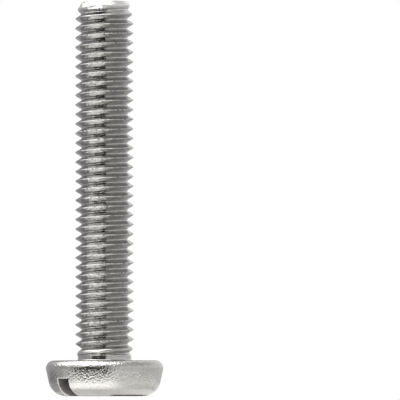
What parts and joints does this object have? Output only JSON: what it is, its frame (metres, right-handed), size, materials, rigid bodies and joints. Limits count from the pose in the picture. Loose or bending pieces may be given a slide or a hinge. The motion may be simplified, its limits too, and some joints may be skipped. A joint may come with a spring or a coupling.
{
  "type": "slotted pan head screw",
  "caption": "Slotted pan head machine screw in stainless steel, M5 by 30 mm, threaded to a short collar under the head.",
  "frame": {"origin": "centre of the bearing face under the head", "axes": "+Z along the shank, from the head towards the threaded end; the driver slot runs along X"},
  "size_m": [0.0098, 0.0098, 0.033],
  "materials": {
    "stainless": "satin, as rolled and tumbled"
  },
  "bodies": {
    "root": {"screw": "stainless"}
  },
  "joints": []
}
